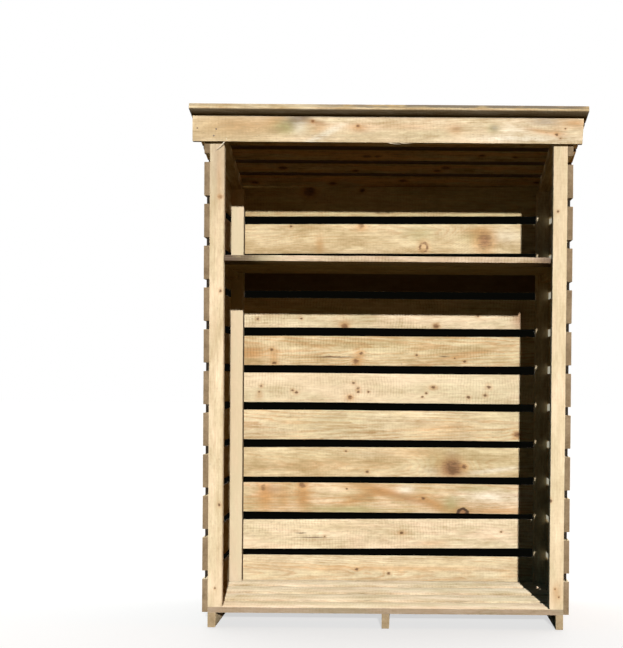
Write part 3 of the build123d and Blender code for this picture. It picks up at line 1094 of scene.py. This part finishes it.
class LOGSTORE_OT_nails(bpy.types.Operator):
    """Make one nail head and copy it to every fixing, joined by the boards that it holds"""

    bl_idname = "logstore.nails"
    bl_label = "Nails"

    def execute(self, context):
        head = self.head()
        material = steel("nail_steel")
        post = middle_of("back_post_right").x
        bearer = middle_of("shelf_bearer_right").x
        floor_ends = [middle_of(node).x for node in ("ground_bearer_1", "ground_bearer_3")]
        bare_floor_boards = ("floor_board_2", "floor_board_3")
        shelf_boards = ("shelf_board_1", "shelf_board_2", "shelf_board_3")
        nails = {
            "back_nails": ("back_board_01", self.fixings(
                "back nails", BACK_LOOKS, (-post, post), WALL_NAIL_SHARES, (X, Z, Y), BACK, WALL_BACK_Y
            )),
            "side_nails_left": ("side_slats_left", self.side_fixings(-1)),
            "side_nails_right": ("side_slats_right", self.side_fixings(1)),
            "floor_nails": ("floor_board_1", self.fixings(
                "floor nails", bare_floor_boards, floor_ends, (-0.28, 0.28), (X, Y, Z), UP,
                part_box("floor_board_2")[1].z,
            )),
            "shelf_nails": ("shelf_board_1", self.fixings(
                "shelf nails", shelf_boards, (-bearer, bearer), (-0.12, 0.30), (X, Y, Z), UP,
                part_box("shelf_board_1")[1].z,
            )),
            "roof_nails": ("roof_board_1", self.roof_fixings()),
            "fascia_nails": ("fascia", self.fascia_fixings()),
        }
        for name, (node, fixings) in nails.items():
            self.drive(name, node, head, fixings, material)
        bpy.data.objects.remove(head)
        return {"FINISHED"}

    def head(self):
        """A flat round head about the origin, facing up, with a bevelled rim and a sunk middle."""
        width = bpy.context.scene.timber_sizes.nail_head
        proud = 0.9 * MM
        sunk = 1.2 * MM
        rounding = 0.5 * MM
        rim = 1.0 * MM
        hollow = 0.2 * MM
        deselect_all()
        bpy.ops.mesh.primitive_cylinder_add(
            vertices=12, radius=width / 2, depth=proud + sunk, location=(0, 0, (proud - sunk) / 2)
        )
        head = bpy.context.object
        bpy.ops.object.transform_apply(location=True, rotation=False, scale=False)
        select_edges(head, lambda start, end: min(start.z, end.z) > 0)
        bpy.ops.mesh.bevel(offset=rounding, segments=2)
        bpy.ops.object.mode_set(mode="OBJECT")
        for face in head.data.polygons:
            face.select = face.normal.z > 0.9
        bpy.ops.object.mode_set(mode="EDIT")
        bpy.ops.mesh.select_mode(type="FACE")
        bpy.ops.mesh.inset(thickness=rim)
        bpy.ops.transform.translate(value=(0, 0, -hollow))
        bpy.ops.object.mode_set(mode="OBJECT")
        return head

    def drive(self, name, node, head, fixings, material):
        """Copies the head to its fixings and joins the copies as one piece."""
        copies = []
        for point, outward in fixings:
            nail = head.copy()
            nail.data = head.data.copy()
            bpy.context.scene.collection.objects.link(nail)
            turn = UP.rotation_difference(outward).to_matrix().to_4x4()
            nail.matrix_world = Matrix.Translation(point) @ turn
            copies.append(nail)
        nails = join_pieces(copies, name)
        bpy.ops.object.transform_apply(location=True, rotation=True, scale=True)
        bpy.ops.object.shade_smooth_by_angle(angle=SHARP_ANGLE)
        dress(nails, node, material)

    def astray(self, draw):
        """How far a nail went in from its mark, in one direction."""
        return draw.uniform(-3.5, 3.5) * MM

    def fixings(self, seed, boards, supports, shares, axes, outward, surface):
        """Nails through boards into their supports, at shares of the boards' widths."""
        along, across, through = axes
        draw = random.Random(seed)
        for board in boards:
            for support in supports:
                for share in shares:
                    point = Vector()
                    point[along] = support + self.astray(draw)
                    mark = middle_of(board)[across] + size_of(board)[across] * share
                    point[across] = mark + self.astray(draw)
                    point[through] = surface
                    yield point, outward

    def side_fixings(self, hand):
        """Two nails through each end of each side slat, and through the front of the tapered one."""
        outer = hand * (POST_OUTER_X + BOARD_THICKNESS)
        outward = RIGHT * hand
        front = middle_of("front_post_left").y
        back = middle_of("back_post_left").y
        seed = f"side nails {hand}"
        yield from self.fixings(
            seed, BACK_LOOKS, (front, back), WALL_NAIL_SHARES, (Y, Z, X), outward, outer
        )
        for rise in (-14 * MM, 14 * MM):
            yield Vector((outer, front, middle_of("tapered_slat_left").z + rise)), outward

    def roof_fixings(self):
        """Two nails through each roof board at each rafter, square to the slope."""
        draw = random.Random("roof nails")
        rafter = middle_of("rafter_right").x
        for number in range(1, 7):
            node = f"roof_board_{number}"
            for x in (-rafter, rafter):
                for share in (-0.25, 0.28):
                    down = DOWN_THE_ROOF * (size_of(node).y * share)
                    point = middle_of(node) + down + OUT_OF_THE_ROOF * (BOARD_THICKNESS / 2)
                    point.x = x + self.astray(draw)
                    yield point, OUT_OF_THE_ROOF

    def fascia_fixings(self):
        """Three nails near the left end of the fascia."""
        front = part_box("fascia")[0].y
        for along, rise in ((-640, 1), (-577, -2), (-585, -24)):
            yield Vector((along * MM, front, middle_of("fascia").z + rise * MM)), FRONT


class LOGSTORE_OT_splinters(bpy.types.Operator):
    """Lift the splinters of the fascia's lower edge and the sliver across the left post"""

    bl_idname = "logstore.splinters"
    bl_label = "Splinters"

    def execute(self, context):
        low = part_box("fascia")[0]
        corner = Vector((0, low.y, low.z))
        # Root and tip of each, in millimetres from the middle of the fascia's lower front edge
        ends = {
            "splinter_left": ((-12, 3, 1), (38, 2, -7)),
            "splinter_right": ((30, 3, 0), (75, 1, -4)),
            "post_sliver": ((-540, -0.6, 7), (-583, BOARD_THICKNESS / MM - 0.8, -33)),
        }
        slivers = [
            self.sliver(name, corner + Vector(root) * MM, corner + Vector(tip) * MM)
            for name, (root, tip) in ends.items()
        ]
        look = Look("bleached", "cream", saw=0.0, ends=0.3)
        dress(join_pieces(slivers, "fascia_splinters"), "fascia", wood("splinter_wood", look))
        return {"FINISHED"}

    def sliver(self, name, root, tip):
        """A torn fibre that thins from its root to its tip and curls a little."""
        width = 2.2 * MM
        thickness = 1.2 * MM
        depth_in_log = 0.03
        along = tip - root
        blank = sawn_blank(name, along.length, width, thickness)
        for method, axis, setting, amount in (
            ("TAPER", "X", "factor", -1.6),
            ("BEND", "Z", "angle", math.radians(24)),
        ):
            change = blank.modifiers.new(method, "SIMPLE_DEFORM")
            change.deform_method = method
            change.deform_axis = axis
            setattr(change, setting, amount)
            pick(blank)
            bpy.ops.object.modifier_apply(modifier=change.name)
        mark_grain(blank, Vector((root.x, 0, depth_in_log)))
        along.normalize()
        through = along.cross(UP).normalized()
        lay(blank, (root + tip) / 2, (along, through.cross(along), through))
        return blank


class LOGSTORE_OT_stage(bpy.types.Operator):
    """Lay the pale floor and set up the lamps, the surroundings and the camera"""

    bl_idname = "logstore.stage"
    bl_label = "Stage"

    def execute(self, context):
        self.floor()
        self.painted_gap_cards()
        self.lamps(context)
        self.surroundings(context)
        self.camera(context)
        context.scene.view_settings.view_transform = "Standard"
        return {"FINISHED"}

    def floor(self):
        """A white floor that keeps the shadow and throws little light back up."""
        bounce = (0.10, 0.075, 0.03)
        paint = (0.45, 0.45, 0.45)
        glow = 0.62  # what the camera sees beside the paint, up to white
        deselect_all()
        bpy.ops.mesh.primitive_plane_add(size=60)
        floor = bpy.context.object
        floor.name = "studio_floor"
        recipe = Recipe(bpy.data.materials.new("studio_floor_paint"))
        seen = recipe.node("ShaderNodeLightPath", {}, {}, "Is Camera Ray")
        dark = recipe.node("ShaderNodeBsdfDiffuse", {}, {"Color": bounce})
        pale = recipe.node("ShaderNodeBsdfDiffuse", {}, {"Color": paint})
        shining = recipe.node("ShaderNodeEmission", {}, {"Color": WHITE, "Strength": glow})
        bright = recipe.node("ShaderNodeAddShader", {}, {0: pale, 1: shining})
        recipe.use_shader(recipe.node("ShaderNodeMixShader", {}, {0: seen, 1: dark, 2: bright}))
        floor.data.materials.append(recipe.owner)

    def painted_gap_cards(self):
        """Cards in the middle of the walls, seen in their gaps from within, clear from outside: glowing
        sheets, black and brown as painted shade, beige as painted light.
        """
        front_depth = 0.25  # depth of the side walls that the front cards cover
        corner_depth = 0.085  # and of the one at the right rear corner
        # Black and brown are painted shade seen through the gaps, beige is painted light
        black = (0.0025, 0.0025, 0.0018)
        brown = (0.045, 0.034, 0.024)
        beige = (0.376, 0.356, 0.279)
        middle = BOARD_THICKNESS / 2
        side = -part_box("side_slats_left")[0].x - middle
        rear = WALL_BACK_Y - middle
        near_front = FRONT_Y + front_depth
        near_rear = rear - corner_depth
        cards = (
            ("back_card", (-side, rear), (POST_OUTER_X, rear), BACK, black),
            ("corner_card", (POST_OUTER_X, rear), (side, rear), BACK, beige),
            ("left_card", (-side, near_front), (-side, rear), LEFT, black),
            ("right_card", (side, near_front), (side, near_rear), RIGHT, black),
            ("right_rear_card", (side, near_rear), (side, rear), RIGHT, beige),
            ("left_front_card", (-side, FRONT_Y), (-side, near_front), LEFT, brown),
            ("right_front_card", (side, FRONT_Y), (side, near_front), RIGHT, brown),
        )
        for name, start, end, outward, colour in cards:
            self.card(name, start, end, outward, colour)

    def card(self, name, start, end, outward, colour):
        """One upright card from the floor boards to the top of the side slats."""
        low = Vector((*start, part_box("floor_board_4")[1].z))
        high = Vector((*end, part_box("side_slats_left")[1].z))
        size = high - low
        deselect_all()
        bpy.ops.mesh.primitive_plane_add(size=1)
        card = bpy.context.object
        card.name = name
        card.scale = (size.x + size.y, size.z, 1)
        card.rotation_euler = (math.pi / 2, 0, math.atan2(outward.x, -outward.y) + math.pi)
        card.location = (low + high) / 2
        bpy.ops.object.transform_apply(location=True, rotation=True, scale=True)
        recipe = Recipe(bpy.data.materials.new(f"{name}_cloth"))
        outside = recipe.node("ShaderNodeNewGeometry", {}, {}, "Backfacing")
        # The sheet glows in its colour: painted shade where black and brown, painted light where beige
        painted_shade_and_glow = recipe.node("ShaderNodeEmission", {}, {"Color": colour, "Strength": 1.0})
        clear = recipe.node("ShaderNodeBsdfTransparent", {}, {})
        recipe.use_shader(recipe.node("ShaderNodeMixShader", {}, {0: outside, 1: painted_shade_and_glow, 2: clear}))
        card.data.materials.append(recipe.owner)
        card.visible_glossy = False
        card.visible_transmission = False

    def lamps(self, context):
        """The key lamp in the sun's direction, which lights directly only."""
        travel = Vector((-0.100, 1, -0.274))
        studio = context.scene.studio_settings
        light = bpy.data.lights.new("key_lamp", "SUN")
        light.energy = studio.key_strength
        light.angle = studio.key_angle
        light.cycles.max_bounces = 0
        light.color = (1.0, 0.99, 0.97)
        lamp = bpy.data.objects.new("key_lamp", light)
        context.scene.collection.objects.link(lamp)
        lamp.rotation_euler = travel.to_track_quat("-Z", "Y").to_euler()

    def surroundings(self, context):
        """White light from behind and above, and dim coloured light from the front for the shade."""
        left_colour = (0.02, 0.55, 0.78)
        middle_colour = (0.85, 0.75, 0.42)
        right_colour = (3.2, 1.35, 0.18)
        studio = context.scene.studio_settings
        recipe = Recipe(bpy.data.worlds.new("studio"))
        context.scene.world = recipe.owner
        direction = recipe.node("ShaderNodeTexCoord", {}, {}, "Generated")
        right, back, up = recipe.split(direction)
        rear = recipe.rise(back + up * 0.15, -0.25, 0.35)
        fill = rear * (studio.rear_fill - studio.front_fill) + studio.front_fill
        seen = recipe.node("ShaderNodeLightPath", {}, {}, "Is Camera Ray")
        front = recipe.mix(recipe.rise(right, -0.4, 0.05), left_colour, middle_colour)
        front = recipe.mix(recipe.rise(right, 0.1, 0.6), front, right_colour)
        recipe.fill(recipe.tree.nodes["Background"], {
            "Color": recipe.mix(seen, recipe.mix(rear, front, WHITE), WHITE),
            "Strength": seen + (1.0 - seen) * fill,
        })

    def camera(self, context):
        """The camera of the photograph: its frame is cut off-centre from a wider one."""
        frame_long_side = 648
        frame_centre = Vector((311.5, 324))
        optical_centre = Vector((403, 393.3))
        pixels_per_metre = 297.3  # at the front faces of the front posts
        distance = 4.140
        eye_side = 0.0535
        eye_height = 0.860
        roll = 0.008
        pitch = math.radians(0.9)
        data = bpy.data.cameras.new("camera")
        data.sensor_width = 36
        data.lens = data.sensor_width * pixels_per_metre * distance / frame_long_side
        data.shift_x = (frame_centre.x - optical_centre.x) / frame_long_side
        data.shift_y = (optical_centre.y - frame_centre.y) / frame_long_side
        camera = bpy.data.objects.new("camera", data)
        context.scene.collection.objects.link(camera)
        camera.matrix_world = (
            Matrix.Translation((eye_side, FRONT_Y - distance, eye_height))
            @ Matrix.Rotation(math.pi / 2 - pitch, 4, "X")
            @ Matrix.Rotation(roll, 4, "Z")
        )
        context.scene.camera = camera


class LOGSTORE_PT_panel(bpy.types.Panel):
    """The steps that make the log store, in order"""

    bl_idname = "LOGSTORE_PT_panel"
    bl_label = "Log Store"
    bl_space_type = "VIEW_3D"
    bl_region_type = "UI"
    bl_category = "Log Store"

    def draw(self, context):
        for step in STEPS:
            self.layout.operator(step.bl_idname)


STEPS = (
    LOGSTORE_OT_bearers,
    LOGSTORE_OT_floor_boards,
    LOGSTORE_OT_posts,
    LOGSTORE_OT_back_boards,
    LOGSTORE_OT_side_slats,
    LOGSTORE_OT_shelf,
    LOGSTORE_OT_rafters,
    LOGSTORE_OT_fascia,
    LOGSTORE_OT_roof_boards,
    LOGSTORE_OT_nails,
    LOGSTORE_OT_splinters,
    LOGSTORE_OT_stage,
)
GROUPS = {
    "timber_sizes": TimberSizes,
    "timber_colours": TimberColours,
    "studio_settings": StudioSettings,
}


def register():
    for name, group in GROUPS.items():
        bpy.utils.register_class(group)
        setattr(bpy.types.Scene, name, PointerProperty(type=group))
    for step in STEPS:
        bpy.utils.register_class(step)
    bpy.utils.register_class(LOGSTORE_PT_panel)


def unregister():
    bpy.utils.unregister_class(LOGSTORE_PT_panel)
    for step in reversed(STEPS):
        bpy.utils.unregister_class(step)
    for name, group in GROUPS.items():
        delattr(bpy.types.Scene, name)
        bpy.utils.unregister_class(group)


def main():
    register()
    bpy.ops.logstore.bearers()
    bpy.ops.logstore.floor_boards()
    bpy.ops.logstore.posts()
    bpy.ops.logstore.back_boards()
    bpy.ops.logstore.side_slats()
    bpy.ops.logstore.shelf()
    bpy.ops.logstore.rafters()
    bpy.ops.logstore.fascia()
    bpy.ops.logstore.roof_boards()
    bpy.ops.logstore.nails()
    bpy.ops.logstore.splinters()
    bpy.ops.logstore.stage()


if __name__ == "__main__":
    main()
